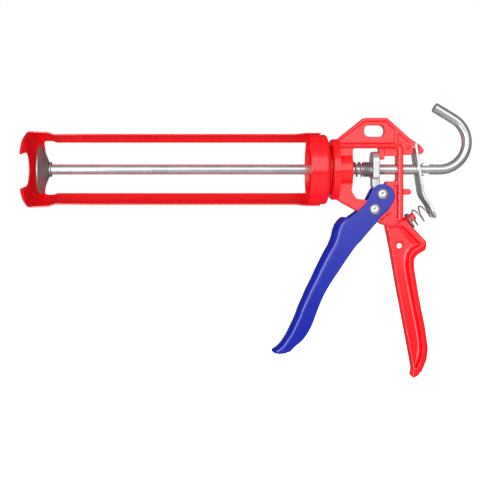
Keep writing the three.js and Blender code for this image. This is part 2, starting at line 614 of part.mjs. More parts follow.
function plungerNut() {
  const { x0, x1, acrossFlats } = PLUNGER_NUT;
  return cylinderX(x0, x1, acrossFlats / Math.sqrt(3), 6).subtract(cylinderX(x0 - 1, x1 + 1, ROD_STUD_R + GAP, 20));
}

function plungerLockWasher() {
  const { x0, x1, r, boreR, slit } = LOCK_WASHER;
  return ring(x0, x1, r, boreR, 28).subtract(block(x0 - 1, x1 + 1, -slit / 2, slit / 2, 0, 2 * r));
}

// ---------- assembly ----------
const PARTS = [
  ["carriage_frame", carriageFrame, RED_PAINT],
  ["rear_cup", rearCup, RED_PAINT],
  ["swivel_washer", swivelWasher, RED_PAINT],
  ["swivel_retainer", swivelRetainer, DARK_STEEL],
  ["handle_body", handleBody, RED_PAINT],
  ["trigger", trigger, BLUE_PAINT],
  ["pivot_rivet", () => rivet(PIVOT), BRIGHT_STEEL],
  ["drive_rivet", () => rivet(DRIVE_PIN), BRIGHT_STEEL],
  ["drive_dog", driveDog, DARK_STEEL],
  ["drive_spring", driveSpring, DARK_STEEL],
  ["push_rod", pushRod, BRIGHT_STEEL],
  ["plunger_disc", plungerDisc, BRIGHT_STEEL],
  ["plunger_collar", plungerCollar, BRIGHT_STEEL],
  ["plunger_lock_washer", plungerLockWasher, DARK_STEEL],
  ["plunger_nut", plungerNut, BRIGHT_STEEL],
  ["catch_plate", catchPlate, BRIGHT_STEEL],
  ["catch_spring", catchSpring, DARK_STEEL],
];

// These two stand slightly turned on the swivel.
const TURNED_NODES = ["carriage_frame", "rear_cup"];

const gun = new THREE.Group();
for (const [name, build, material] of PARTS) {
  const mesh = new THREE.Mesh(geometryOf(build()), material);
  mesh.name = name;
  mesh.position.copy(GRIP_CENTRE).negate();
  if (TURNED_NODES.includes(name)) mesh.rotation.x = (CARRIAGE_TURN_DEG * Math.PI) / 180;
  gun.add(mesh);
}
export default gun;
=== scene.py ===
"""The looks of a hand-held cartridge gun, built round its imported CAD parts.

Shapes are given in millimetres in the gun's own frame: the rod's axis is X, +X to the hook, +Z up and Y
across, with the origin where the cradle swivels. `place` turns that into metres in the row frame.
"""

import math

import bmesh
import bpy
import numpy as np
from mathutils import Matrix, Vector

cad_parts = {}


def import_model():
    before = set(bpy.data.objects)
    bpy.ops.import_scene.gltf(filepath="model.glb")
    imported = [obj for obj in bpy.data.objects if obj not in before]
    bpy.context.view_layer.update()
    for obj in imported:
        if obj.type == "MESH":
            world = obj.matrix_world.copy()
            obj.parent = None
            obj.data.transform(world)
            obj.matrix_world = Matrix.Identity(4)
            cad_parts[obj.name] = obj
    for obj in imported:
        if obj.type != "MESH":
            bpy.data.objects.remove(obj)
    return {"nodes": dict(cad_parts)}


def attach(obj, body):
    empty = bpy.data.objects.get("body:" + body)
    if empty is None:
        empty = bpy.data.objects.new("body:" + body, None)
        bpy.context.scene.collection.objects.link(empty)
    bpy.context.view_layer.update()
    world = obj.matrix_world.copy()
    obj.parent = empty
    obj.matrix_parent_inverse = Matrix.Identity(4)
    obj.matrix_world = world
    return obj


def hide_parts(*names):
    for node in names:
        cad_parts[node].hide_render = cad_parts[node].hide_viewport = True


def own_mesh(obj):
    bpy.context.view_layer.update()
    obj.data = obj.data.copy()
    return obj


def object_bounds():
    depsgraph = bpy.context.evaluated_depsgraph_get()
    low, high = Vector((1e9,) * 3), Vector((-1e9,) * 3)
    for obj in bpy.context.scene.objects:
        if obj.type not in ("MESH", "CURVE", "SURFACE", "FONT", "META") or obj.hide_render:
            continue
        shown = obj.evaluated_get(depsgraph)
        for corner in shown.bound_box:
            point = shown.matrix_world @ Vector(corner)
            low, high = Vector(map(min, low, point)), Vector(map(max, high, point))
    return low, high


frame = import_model()
cad_low, cad_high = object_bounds()

MM = 0.001
SWIVEL = Vector((-60, 0, 98))
CARRIAGE_TURN = math.radians(4.5)
NODES = frame["nodes"]

# ---------- cradle, cup and swivel ----------
SHEET = 1.2
# A little more than the part that a cut goes through.
OVER = 1
# The cap tapers back to the rails. "corner" is how far behind the front its inner corner starts.
CAP = {
    "front": -243.4, "rim": -240.4, "wall_end": -231.6, "r": 30.7, "plate_r": 26.6,
    "taper": 0.6, "corner": 3.6,
}
RAIL = {
    "r": 28.4, "joggle0": -225.5, "joggle1": -220.5,
    "flare0": -27, "flare1": -19.8, "flare_r": 29.3, "end": -7,
}
# Corner radii along the pressing's section.
CRADLE_BEND = {
    "plate": 1, "cap": 1.2, "cap_inside": 3, "joggle0": 4, "joggle1": 6, "flare": 8, "end": 0.3,
}
WINDOW = {"half": 20.7, "cap_half": 22, "step0": -224.3, "step1": -220.6, "corner": 2.5, "bend": 2}
NOZZLE = {"half": 13.4, "end_y": 1}
NEAR_AXIS = 0.001
CRADLE_SKIN = {"voxel": 0.3, "rounds": 8}

CUP = {"rim": -17.2, "shoulder": -4.4, "back": -1.4, "r": 27.8, "back_r": 23.8, "bore": 10.1, "inset": 0.6}
# The cup's shoulder: steps backward and inward from its start, outside and inside.
CUP_STEP = {"back": 1.4, "inward": 0.9, "inner_back": 0.4, "inner_inward": 1}
CUP_BEND = {"rim": 0.4, "shoulder": 2.2, "back": 1.2, "seat": 0.6, "inner_back": 1, "inner_shoulder": 1.5}
SEAT = {"r": 16, "slope": 0.8, "raise": 0.4}
WASHER = {"x0": -1.1, "x1": -0.1, "r": 20, "bore": 10.1}
RETAINER = {"x0": -5.4, "x1": -2.9, "r": 15, "bore": 10, "edge": 0.4}

# ---------- casting ----------
ROD_BORE_R = 4.3
FLANGE = {"x0": 0.2, "x1": 6.4, "r": 24.2, "chamfer": 1.3}
BOSS = {"x1": 17.6, "r": 12.4}
NECK = {"x0": -6.2, "r": 9.7}
HUB_BEND = {"bore": 0.1, "neck": 0.6, "root": 0.3, "flange": 0.8, "boss": 1.2, "mouth": 0.3}
PEG = {
    "x": 62.5, "z": -40.2, "r": 3.15, "length": 6.2, "sunk": 3.5, "foot": 2, "lead": 0.5, "chamfer": 0.6,
    "sides": 48,
}
PEG_AXIS = Vector((0.85, 0, 0.53)).normalized()
CASTING_SKIN = {"voxel": 0.3, "rounds": 5}

# The scooped recess in the grip: its rim follows the line, and its fillet ends at the floor.
RECESS = {"floor": 1.8, "rim": 5.3, "slope": 4.4, "back": 1.5, "sunk": 0.6}
# The fillet is narrower at the line's two ends, and full after so many of its steps.
RECESS_STEPS = 90
RECESS_END = {"share": 0.35, "steps": 12}
RECESS_LINE = [
    (54.5, -45), (59, -46.2), (63.8, -51), (68.2, -55.5), (72, -59.8), (68.5, -62.4), (64.6, -65),
    (62.4, -70), (62.2, -77), (63.4, -86), (65.2, -96), (68, -110), (71.3, -127), (72.8, -136), (73.2, -143),
    (71.6, -151), (69.2, -157),
]
# Stands for the grip's rear edge, which the softening would draw in.
GRIP_REAR_EDGE = [
    (76.8, -60.4, 1), (75.6, -64.4, 1.5), (69.6, -67.8, 3), (66.8, -71.6, 3), (67.1, -79.5, 8),
    (70.6, -101, 20), (75.6, -126, 20), (77.8, -142, 14), (76.7, -151.6, 8), (72.4, -161.6, 1),
    (70.6, -161), (74, -151), (75.4, -142), (73, -126), (68, -101), (64.8, -79.5), (64.6, -70), (69, -65.2),
]
GRIP_EDGE_HALF = 4.8

# ---------- trigger and rivets ----------
TRIGGER = {"half": 8, "sheet": 1.5, "bend": 7.4, "end_bend": 4.6, "steps": 110}
EYE = {"x": 41.3, "z": -21.1, "r": 9.5}
# Points along the channel's front, with the open edge's points opposite to them.
TRIGGER_FRONT = [
    (9.2, -37.9), (6.4, -40.3), (3.8, -43.9), (2.1, -48.5), (1, -53.5), (-0.8, -58.4), (-4.9, -65.8),
    (-8.1, -72.1), (-11.7, -79.4), (-15.4, -87.6), (-19.1, -94.9), (-22.2, -102.1), (-25.4, -109.4),
    (-28.1, -116.8), (-31.4, -124), (-35, -131.3), (-39.6, -138.6), (-42.9, -141.9),
]
TRIGGER_REAR = [
    (36.2, -40.4), (33.4, -43.4), (29.6, -47.6), (25.6, -52.3), (21.2, -57.5), (16.8, -62.6), (9.8, -72.6),
    (5.4, -79.2), (1.2, -85.5), (-3.8, -93.4), (-7.6, -100.6), (-10.6, -107.5), (-13.2, -114.5),
    (-15.9, -121.6), (-19.1, -128.1), (-23.6, -134.5), (-29.9, -140.2), (-34.2, -144.4),
]
# The closed tip narrows towards its end, and its sections are between an ellipse and a rectangle.
TIP = {"steps": 24, "sides": 40, "narrowing": 0.8, "narrowing_power": 4, "squareness": 0.7}
TIP_FRONT = [(-36.2, -133.4), (-39.8, -138.4), (-43.2, -141.9), (-45.6, -143.4), (-46.6, -144.6)]
TIP_REAR = [(-27, -137.6), (-29.6, -142.6), (-34.4, -146.2), (-40.4, -147), (-44.6, -146.3)]
TRIGGER_CHEEK = [
    (14.9, -37.9), (21.6, -33.1, 3), (27.6, -27, 6), (33.1, -16.3), (41.3, -21.1), (48.8, -26.9),
    (45.4, -32.4, 6), (35.8, -40.9, 40), (29.6, -47.6),
]
# The softening draws in thin edges a little, so the trigger's open edge is set out by this much.
EDGE_ALLOWANCE = 1.7
TRIGGER_SKIN = {"voxel": 0.28, "rounds": 8}

PIVOT = (34.9, -31.5)
DRIVE_PIN = (41.1, -19.4)
# Half a rivet as (radius, distance from its middle): shank, domed head and a small dimple.
RIVET_HALF = [
    (2.5, 0), (2.5, 8.2), (4.2, 8.2), (4.3, 8.62), (4.05, 9.145), (3.44, 9.712), (2.365, 10.132),
    (1.462, 10.3), (1.204, 10.15), (0, 9.85),
]
RIVET_SHARP = math.radians(50)

# ---------- rod and plunger ----------
ROD = {"r": 4, "front": -223.9, "chamfer": 0.45, "lead": 0.4, "straight": 4, "steps": 60, "sides": 64}
STUD = {"r": 3, "front": -232, "chamfer": 0.4, "lead": 0.5, "sides": 40}
HOOK = {
    "x": 87.9, "r": 21.8, "end": math.radians(58.6), "steps": 90,
    "tail_start": 2, "tail": 18.2, "tail_steps": 8, "lead": 0.5,
}
EARS = {
    "x0": 73.2, "x1": 79, "slope": 1.9, "corner": 2, "half_height": 5.2, "half_width": 2.8, "sunk": 0.8,
}
DISC = {
    "rim": -231.2, "rim_r": 19.5, "lip": 1.5, "hub": -225.4, "hub_r": 6, "inset": 0.4, "bore": 3.3,
    "thick": 1.2,
}
DISC_BEND = {"rim_front": 0.15, "rim_back": 0.25, "hub": 1.5, "bore": 0.2, "lip": 0.4}
COLLAR = {"x0": -223.8, "x1": -222.2, "r": 6, "bore": ROD_BORE_R, "edge": 0.5}
NUT = {
    "x0": -230.2, "x1": -227.2, "across": 10, "chamfer": 0.7, "chamfer_x": 0.42, "clear": 0.05, "edge": 0.02,
}
LOCK_WASHER = {"x0": -226.9, "x1": -225.8, "r": 5.2, "bore": 3.3, "slit": 0.8, "slit_top": 9}

# ---------- springs, dog and catch plate ----------
COIL = {"steps": 40, "sides": 12, "chamfer": 0.3}
DRIVE_SPRING = {"x0": 18.7, "x1": 32.3, "r": 5.35, "wire": 0.72, "open": 2, "closed": 3.5, "pitch": 1.62}
CATCH_SPRING = {
    "x": 63.4, "z": -41.6, "r": 5.95, "wire": 0.55,
    "closed": 1.25, "pitch": 1.2, "open": 2.25, "open_pitch": 6.1,
    "hook": 0.4, "hook_rise": 3.6, "hook_r": 0.8,
}
DOG = {"x0": 25, "x1": 55, "half": 10.2, "top": 14.3, "low": -40, "arch_r": 10}
DOG_SKIN = {"voxel": 0.28, "rounds": 6}
PLATE = {"half": 10, "thick": 2, "top": 20.8, "tab": -38.2, "hole_r": 4.7, "notch": 6.4, "notch_z": 17.2}
PLATE_BEND = {"top": 2.6, "notch": 0.5, "notch_floor": 0.6, "tab": 6}
PLATE_SLOT = {"half": 2.2, "top": -32}
PLATE_LINE = [(67.1, 20.8), (70.2, -1, 90), (73, -20.4, 12), (78.9, -29, 10), (82.9, -38.2)]
# X ranges that reach through the whole plate, its tab, and its upper part.
PLATE_REACH = (55, 95)
TAB_REACH = (70, 95)
HOLE_REACH = (60, 80)
PLATE_SKIN = {"voxel": 0.25, "rounds": 6}

# ---------- mesh fineness ----------
SMALL_ROUND = 64
FINE_ROUND = 96
ROUND = 128
LARGE_ROUND = 180
CORNER_STEPS = 8
LATHE_CORNER_STEPS = 3
BEND_STEPS = 10
SCOOP_STEPS = 8
MERGE_DISTANCE = 1e-7
# A rounded corner takes at most this share of each side.
CORNER_SHARE = 0.48
SHARP = math.radians(32)


# ---------- mesh helpers ----------
def place(x, y, z):
    return (Vector((x, y, z)) + SWIVEL) * MM


def link(obj):
    bpy.context.scene.collection.objects.link(obj)
    return obj


def mesh_object(name, vertices, faces):
    """A mesh object from points in millimetres, with doubles merged and its faces looking outward."""
    mesh = bpy.data.meshes.new(name)
    mesh.from_pydata([place(*v) for v in vertices], [], faces)
    work = bmesh.new()
    work.from_mesh(mesh)
    bmesh.ops.remove_doubles(work, verts=work.verts, dist=MERGE_DISTANCE)
    bmesh.ops.dissolve_degenerate(work, edges=work.edges, dist=MERGE_DISTANCE)
    bmesh.ops.recalc_face_normals(work, faces=work.faces)
    work.to_mesh(mesh)
    work.free()
    return link(bpy.data.objects.new(name, mesh))


def rounded(points, steps=CORNER_STEPS):
    """Closed outline: each (a, b, radius) point becomes a curve that is tangent to both sides."""
    count = len(points)
    done = []
    for i, point in enumerate(points):
        corner = Vector(point[:2])
        if len(point) < 3:
            done.append(corner)
            continue
        before = Vector(points[i - 1][:2]) - corner
        after = Vector(points[(i + 1) % count][:2]) - corner
        half = before.angle(after) / 2
        reach = min(point[2] / math.tan(half), before.length * CORNER_SHARE, after.length * CORNER_SHARE)
        start = corner + before.normalized() * reach
        end = corner + after.normalized() * reach
        for k in range(steps + 1):
            t = k / steps
            done.append(start * (1 - t) ** 2 + corner * 2 * t * (1 - t) + end * t * t)
    return done


def softened(points, radius):
    """Gives every corner of an outline that has no radius of its own the same one."""
    return [p if len(p) == 3 else (*p, radius) for p in points]


def bands(count, size):
    """Faces between `count` + 1 closed rings of `size` points each."""
    return [
        (a + k, a + (k + 1) % size, a + size + (k + 1) % size, a + size + k)
        for a in range(0, count * size, size) for k in range(size)
    ]


def end_caps(total, size):
    return [tuple(range(size)), tuple(range(total - 1, total - 1 - size, -1))]


def lathe(name, profile, segments=ROUND, edge=0.25):
    """A solid turned about the X axis from a closed profile of (x, radius[, corner radius]) points."""
    outline = rounded(softened(profile, edge), LATHE_CORNER_STEPS)
    size = len(outline)
    vertices = []
    for k in range(segments):
        turn = 2 * math.pi * k / segments
        vertices += [(x, r * math.sin(turn), r * math.cos(turn)) for x, r in outline]
    faces = []
    for k in range(segments):
        a, b = k * size, (k + 1) % segments * size
        faces += [(a + j, a + (j + 1) % size, b + (j + 1) % size, b + j) for j in range(size)]
    return mesh_object(name, vertices, faces)


def ring(name, x0, x1, r, bore, edge=0.2):
    return lathe(name, [(x0, bore), (x0, r), (x1, r), (x1, bore)], edge=edge)


def plate_between(name, near, far):
    """A closed solid between two outlines with the same number of points."""
    size = len(near)
    faces = end_caps(2 * size, size)
    faces += [(j, j + size, (j + 1) % size + size, (j + 1) % size) for j in range(size)]
    return mesh_object(name, near + far, faces)


def prism(name, points, y0, y1):
    """A plate cut to an outline of (x, z[, radius]) points, from y0 to y1."""
    outline = rounded(points)
    return plate_between(name, [(x, y0, z) for x, z in outline], [(x, y1, z) for x, z in outline])


def prism_x(name, points, x0, x1):
    """A block cut to an outline of (y, z[, radius]) points, from x0 to x1."""
    outline = rounded(points)
    return plate_between(name, [(x0, y, z) for y, z in outline], [(x1, y, z) for y, z in outline])


def circle(a, b, r, segments):
    turns = [2 * math.pi * k / segments for k in range(segments)]
    return [(a + r * math.cos(t), b + r * math.sin(t)) for t in turns]


def disc_x(name, y, z, r, x0, x1, segments=SMALL_ROUND):
    return prism_x(name, circle(y, z, r, segments), x0, x1)


def sweep(name, line, radius, sides, chamfer):
    """Round bar along a line of points, with a small chamfer at both ends."""
    line = [Vector(p) for p in line]
    last = len(line) - 1
    tangents = [(line[min(i + 1, last)] - line[max(i - 1, 0)]).normalized() for i in range(last + 1)]
    normal = tangents[0].orthogonal().normalized()
    turns = [2 * math.pi * k / sides for k in range(sides)]
    vertices = []
    for i, (point, tangent) in enumerate(zip(line, tangents)):
        normal = (normal - tangent * normal.dot(tangent)).normalized()
        across = tangent.cross(normal)
        r = radius - chamfer if i in (0, last) else radius
        vertices += [tuple(point + (normal * math.cos(t) + across * math.sin(t)) * r) for t in turns]
    return mesh_object(name, vertices, end_caps(len(vertices), sides) + bands(last, sides))


def apply_modifiers(obj):
    graph = bpy.context.evaluated_depsgraph_get()
    fresh = bpy.data.meshes.new_from_object(obj.evaluated_get(graph))
    obj.modifiers.clear()
    stale = obj.data
    obj.data = fresh
    bpy.data.meshes.remove(stale)


def combine(obj, others, operation):
    """Cuts the other objects from obj, joins them to it, or keeps what they share."""
    for other in others:
        modifier = obj.modifiers.new("combine", "BOOLEAN")
        modifier.operation = operation
        modifier.solver = "EXACT"
        modifier.object = other
        apply_modifiers(obj)
        bpy.data.objects.remove(other)
    return obj


def gather(obj, others):
    """Puts other closed meshes into obj's mesh. A voxel remesh then makes one skin of them."""
    work = bmesh.new()
    work.from_mesh(obj.data)
    for other in others:
        work.from_mesh(other.data)
        bpy.data.objects.remove(other)
    work.to_mesh(obj.data)
    work.free()
    return obj


def reskin(obj, voxel, rounds):
    """One even skin with soft edges and fillets, as a casting or a thickly painted sheet has."""
    remesh = obj.modifiers.new("reskin", "REMESH")
    remesh.mode = "VOXEL"
    remesh.voxel_size = voxel * MM
    smooth = obj.modifiers.new("soften", "SMOOTH")
    smooth.factor = 0.5
    smooth.iterations = rounds
    apply_modifiers(obj)
    obj.data.shade_smooth()
    return obj


def shade(obj, limit=SHARP):
    """Smooth shading with sharp edges kept where two faces meet at more than the limit."""
    work = bmesh.new()
    work.from_mesh(obj.data)
    for face in work.faces:
        face.smooth = True
    for edge in work.edges:
        edge.smooth = len(edge.link_faces) == 2 and edge.calc_face_angle(0) < limit
    work.to_mesh(obj.data)
    work.free()
    return obj


def turn_with_carriage(obj):
    centre = place(0, 0, 0)
    turn = Matrix.Rotation(CARRIAGE_TURN, 4, "X")
    obj.data.transform(Matrix.Translation(centre) @ turn @ Matrix.Translation(-centre))
    return obj


def copy_of(node, name):
    obj = bpy.data.objects.new(name, NODES[node].data.copy())
    obj.data.materials.clear()
    return link(obj)


def settle(obj, node, body, material):
    """The piece stands for its CAD node, rides on the node's body and gets its finish."""
    obj.data.materials.clear()
    obj.data.materials.append(material)
    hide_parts(node)
    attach(obj, body)
    return obj


# ---------- shader nodes ----------
class Nodes:
    """Short forms for building a node tree."""

    def __init__(self, tree):
        self.tree = tree

    def add(self, kind, **settings):
        node = self.tree.nodes.new(kind)
        for key, value in settings.items():
            setattr(node, key, value)
        return node

    def link(self, source, target):
        self.tree.links.new(source, target)

    def math(self, operation, *values):
        """A math node. Each value is a socket or a number."""
        node = self.add("ShaderNodeMath", operation=operation)
        for value, target in zip(values, node.inputs):
            if isinstance(value, bpy.types.NodeSocket):
                self.link(value, target)
            else:
                target.default_value = value
        return node.outputs[0]

    def scaled(self, value, low, high, new_low=0, new_high=1):
        node = self.add("ShaderNodeMapRange")
        limits = {"From Min": low, "From Max": high, "To Min": new_low, "To Max": new_high}
        for key, number in limits.items():
            node.inputs[key].default_value = number
        self.link(value, node.inputs["Value"])
        return node.outputs["Result"]

    def mix(self, share, a, b):
        """A colour mix. Each colour is a socket or a tuple."""
        node = self.add("ShaderNodeMix", data_type="RGBA")
        self.link(share, node.inputs["Factor"])
        for value, target in ((a, node.inputs["A"]), (b, node.inputs["B"])):
            if isinstance(value, tuple):
                target.default_value = value
            else:
                self.link(value, target)
        return node.outputs["Result"]


class Finish(Nodes):
    """A new material, with its Principled shader and the object's own coordinates."""

    def __init__(self, name):
        self.material = bpy.data.materials.new(name)
        self.material.use_nodes = True
        super().__init__(self.material.node_tree)
        self.shader = self.tree.nodes["Principled BSDF"]
        self.place = self.add("ShaderNodeTexCoord").outputs["Object"]

    def set(self, key, value):
        self.shader.inputs[key].default_value = value

    def noise(self, scale, detail=3.0, roughness=0.55, stretch=(1, 1, 1)):
        mapping = self.add("ShaderNodeMapping")
        mapping.inputs["Scale"].default_value = stretch
        self.link(self.place, mapping.inputs["Vector"])
        noise = self.add("ShaderNodeTexNoise")
        noise.inputs["Scale"].default_value = scale
        noise.inputs["Detail"].default_value = detail
        noise.inputs["Roughness"].default_value = roughness
        self.link(mapping.outputs["Vector"], noise.inputs["Vector"])
        return noise.outputs["Fac"]

    def bump(self, heights):
        """Chains bumps of (height socket, strength, distance in metres) into the shader's normal."""
        normal = None
        for height, strength, distance in heights:
            node = self.add("ShaderNodeBump")
            node.inputs["Strength"].default_value = strength
            node.inputs["Distance"].default_value = distance
            self.link(height, node.inputs["Height"])
            if normal is not None:
                self.link(normal, node.inputs["Normal"])
            normal = node.outputs["Normal"]
        self.link(normal, self.shader.inputs["Normal"])
        return normal

    def edges(self, low, high):
        """1 along convex edges, from the mesh's own pointiness."""
        point = self.add("ShaderNodeNewGeometry").outputs["Pointiness"]
        return self.scaled(point, low=low, high=high)


# ---------- materials ----------
RUBBED_STEEL = (0.86, 0.87, 0.88, 1)
# Steel's roughness runs from its smoothest streaks to its dullest, as shares of the stated one.
SMOOTHEST, DULLEST = 0.8, 1.35


def enamel(name, tint, deep, worn, coat_ior):
    """Gloss enamel: slight unevenness of colour, orange peel, and thinner paint along the edges."""
    finish = Finish(name)
    cloud = finish.scaled(finish.noise(scale=38, detail=4), low=0.35, high=0.65)
    body = finish.mix(cloud, deep, tint)
    chips = finish.noise(scale=260, detail=5, roughness=0.7)
    patches = finish.scaled(chips, low=0.5, high=0.66, new_high=0.25)
    wear = finish.math("MULTIPLY", finish.edges(low=0.57, high=0.7), patches)
    finish.link(finish.mix(wear, body, worn), finish.shader.inputs["Base Color"])
    rough = finish.scaled(finish.noise(scale=120, detail=4), low=0.3, high=0.7, new_low=0.3, new_high=0.4)
    finish.link(rough, finish.shader.inputs["Roughness"])
    finish.set("Specular IOR Level", 0.06)
    finish.set("Coat Weight", 1)
    finish.set("Coat Roughness", 0.08)
    finish.set("Coat IOR", coat_ior)
    peel = finish.noise(scale=1100, detail=2, roughness=0.4)
    dust = finish.noise(scale=4200, detail=2, roughness=0.5)
    normal = finish.bump([(peel, 0.10, 0.0002), (dust, 0.05, 0.00005)])
    finish.link(normal, finish.shader.inputs["Coat Normal"])
    return finish.material


def steel(name, light, dark, rough, stretch):
    """Drawn or rolled steel: fine streaks along the metal, faint stains and rubbed bright edges."""
    finish = Finish(name)
    streak = finish.noise(scale=420, detail=4, roughness=0.6, stretch=stretch)
    stain = finish.scaled(finish.noise(scale=70, detail=5, roughness=0.6), low=0.38, high=0.66)
    base = finish.mix(stain, light, dark)
    fine = finish.mix(finish.scaled(streak, low=0.3, high=0.7, new_high=0.35), base, dark)
    rubbed = finish.mix(finish.edges(low=0.54, high=0.66), fine, RUBBED_STEEL)
    finish.link(rubbed, finish.shader.inputs["Base Color"])
    finish.set("Metallic", 0.83)
    uneven = finish.scaled(streak, low=0.3, high=0.7, new_low=rough * SMOOTHEST, new_high=rough * DULLEST)
    finish.link(uneven, finish.shader.inputs["Roughness"])
    pits = finish.noise(scale=2600, detail=3, roughness=0.6)
    finish.bump([(streak, 0.03, 0.0001), (pits, 0.02, 0.00003)])
    return finish.material


RED = enamel("red_enamel", (0.86, 0.003, 0.008, 1), (0.8, 0.002, 0.006, 1), (0.9, 0.06, 0.05, 1), 1.7)
BLUE = enamel("blue_enamel", (0.003, 0.013, 0.285, 1), (0.003, 0.01, 0.255, 1), (0.04, 0.07, 0.42, 1), 1.55)
ALONG_X = (0.06, 1, 1)
ALONG_Z = (1, 1, 0.08)
EVEN = (1, 1, 1)
ROD_STEEL = steel("rod_steel", (0.8, 0.81, 0.82, 1), (0.62, 0.63, 0.64, 1), 0.17, ALONG_X)
PLATE_STEEL = steel("plate_steel", (0.83, 0.84, 0.84, 1), (0.62, 0.63, 0.63, 1), 0.24, ALONG_Z)
DISC_STEEL = steel("disc_steel", (0.4, 0.41, 0.41, 1), (0.3, 0.31, 0.31, 1), 0.4, EVEN)
DOG_STEEL = steel("dog_steel", (0.84, 0.85, 0.86, 1), (0.62, 0.63, 0.64, 1), 0.26, ALONG_Z)
SPRING_STEEL = steel("spring_steel", (0.42, 0.42, 0.42, 1), (0.26, 0.26, 0.26, 1), 0.26, EVEN)
RIVET_STEEL = steel("rivet_steel", (0.84, 0.84, 0.85, 1), (0.68, 0.68, 0.69, 1), 0.2, EVEN)


# ---------- cradle ----------
def cradle_tube():
    """The whole pressing before it is cut open: front plate, cap wall, joggle, rails and rear flare."""
    front, cap_r, taper, r, flare_r = CAP["front"], CAP["r"], CAP["taper"], RAIL["r"], RAIL["flare_r"]
    bend = CRADLE_BEND
    outer = [
        (front, CAP["plate_r"], bend["plate"]), (CAP["rim"], cap_r, bend["cap"]),
        (RAIL["joggle0"], cap_r - taper, bend["joggle0"]), (RAIL["joggle1"], r, bend["joggle1"]),
        (RAIL["flare0"], r, bend["flare"]), (RAIL["flare1"], flare_r, bend["flare"]),
        (RAIL["end"], flare_r, bend["end"]),
    ]
    inner = [
        (RAIL["end"], flare_r - SHEET, bend["end"]), (RAIL["flare1"], flare_r - SHEET, bend["flare"]),
        (RAIL["flare0"], r - SHEET, bend["flare"]), (RAIL["joggle1"], r - SHEET, bend["joggle1"]),
        (RAIL["joggle0"], cap_r - taper - SHEET, bend["joggle0"]),
        (front + CAP["corner"], cap_r - SHEET, bend["cap_inside"]),
        (front + SHEET, CAP["plate_r"] - taper, bend["plate"]),
        (front + SHEET, NEAR_AXIS, NEAR_AXIS), (front, NEAR_AXIS, NEAR_AXIS),
    ]
    return lathe("cradle", outer + inner, segments=LARGE_ROUND)


def cradle():
    """The pressing with its near half cut off behind the cap, the nozzle's slot and the far window."""
    far, front, rim, behind = 2 * CAP["r"], CAP["front"] - OVER, CAP["rim"], RAIL["end"] + OVER
    open_side = prism("cut", [(rim, -far), (behind, -far), (behind, far), (rim, far)], -far, 0)
    half, end_y, inside = NOZZLE["half"], NOZZLE["end_y"], rim + OVER
    straight = prism("cut", [(front, -half), (inside, -half), (inside, half), (front, half)], -far, end_y)
    slot_end = disc_x("cut", end_y, 0, half, front, inside, FINE_ROUND)
    w = WINDOW
    window = prism("cut", [
        (CAP["wall_end"], w["cap_half"], w["corner"]), (CAP["wall_end"], -w["cap_half"], w["corner"]),
        (w["step0"], -w["cap_half"], w["bend"]), (w["step1"], -w["half"], w["bend"]),
        (behind, -w["half"]), (behind, w["half"]),
        (w["step1"], w["half"], w["bend"]), (w["step0"], w["cap_half"], w["bend"]),
    ], 0, far)
    obj = combine(cradle_tube(), [open_side, straight, slot_end, window], "DIFFERENCE")
    return turn_with_carriage(reskin(obj, **CRADLE_SKIN))


def rear_cup():
    c, s, bend = CUP, CUP_STEP, CUP_BEND
    inner_r = c["r"] - SHEET
    seat_x = c["back"] - SEAT["raise"]
    seat_r = SEAT["r"] + SEAT["slope"]
    obj = lathe("cup", [
        (c["rim"], inner_r, bend["rim"]), (c["rim"], c["r"], bend["rim"]),
        (c["shoulder"], c["r"], bend["shoulder"]),
        (c["shoulder"] + s["back"], c["r"] - s["inward"], bend["back"]), (seat_x, c["back_r"], bend["back"]),
        (seat_x, seat_r, bend["seat"]), (c["back"], SEAT["r"], bend["seat"]), (c["back"], c["bore"]),
        (c["back"] - SHEET, c["bore"]),
        (c["back"] - SHEET, SEAT["r"], bend["seat"]), (seat_x - SHEET, seat_r, bend["seat"]),
        (seat_x - SHEET, c["back_r"] - c["inset"], bend["back"]),
        (c["shoulder"] + s["inner_back"], inner_r - s["inner_inward"], bend["inner_back"]),
        (c["shoulder"] - c["inset"], inner_r, bend["inner_shoulder"]),
    ], segments=LARGE_ROUND)
    return turn_with_carriage(shade(obj))


# ---------- casting ----------
def curve_through(points, count):
    """Evenly stepped points on a smooth curve through the given ones."""
    knots = np.array(points, float)
    ahead = np.vstack([2 * knots[0] - knots[1], knots, 2 * knots[-1] - knots[-2]])
    line = []
    for s in np.linspace(0, len(knots) - 1, count):
        i = min(int(s), len(knots) - 2)
        t = s - i
        a, b, c, d = ahead[i:i + 4]
        square, cube = 2 * a - 5 * b + 4 * c - d, 3 * b - a - 3 * c + d
        line.append(0.5 * (2 * b + (c - a) * t + square * t ** 2 + cube * t ** 3))
    return line


def quarter_turn(steps):
    return [math.pi / 2 * k / steps for k in range(steps + 1)]


def recess_section():
    """The fillet's section as (distance from the rim's line, height over the recess's floor)."""
    rise, slope = RECESS["rim"] - RECESS["floor"], RECESS["slope"]
    scoop = [(slope * (1 - math.sin(t)), rise * (1 - math.cos(t))) for t in quarter_turn(SCOOP_STEPS)]
    return scoop + [(-RECESS["back"], rise), (-RECESS["back"], -RECESS["sunk"]), (slope, -RECESS["sunk"])]


def recess_slope(side):
    """The scooped side of the grip's recess: a concave fillet from its floor up to the rim."""
    line = curve_through(RECESS_LINE, RECESS_STEPS)
    section = recess_section()
    last = len(line) - 1
    vertices = []
    for i, point in enumerate(line):
        along = Vector(line[min(i + 1, last)] - line[max(i - 1, 0)]).normalized()
        inward = Vector((along.y, -along.x))
        full = min(1, RECESS_END["share"] + min(i, last - i) / RECESS_END["steps"])
        for u, h in section:
            spot = Vector(point) + inward * u * full
            vertices.append((spot.x, side * (RECESS["floor"] + h), spot.y))
    size = len(section)
    return mesh_object("slope", vertices, end_caps(len(vertices), size) + bands(last, size))


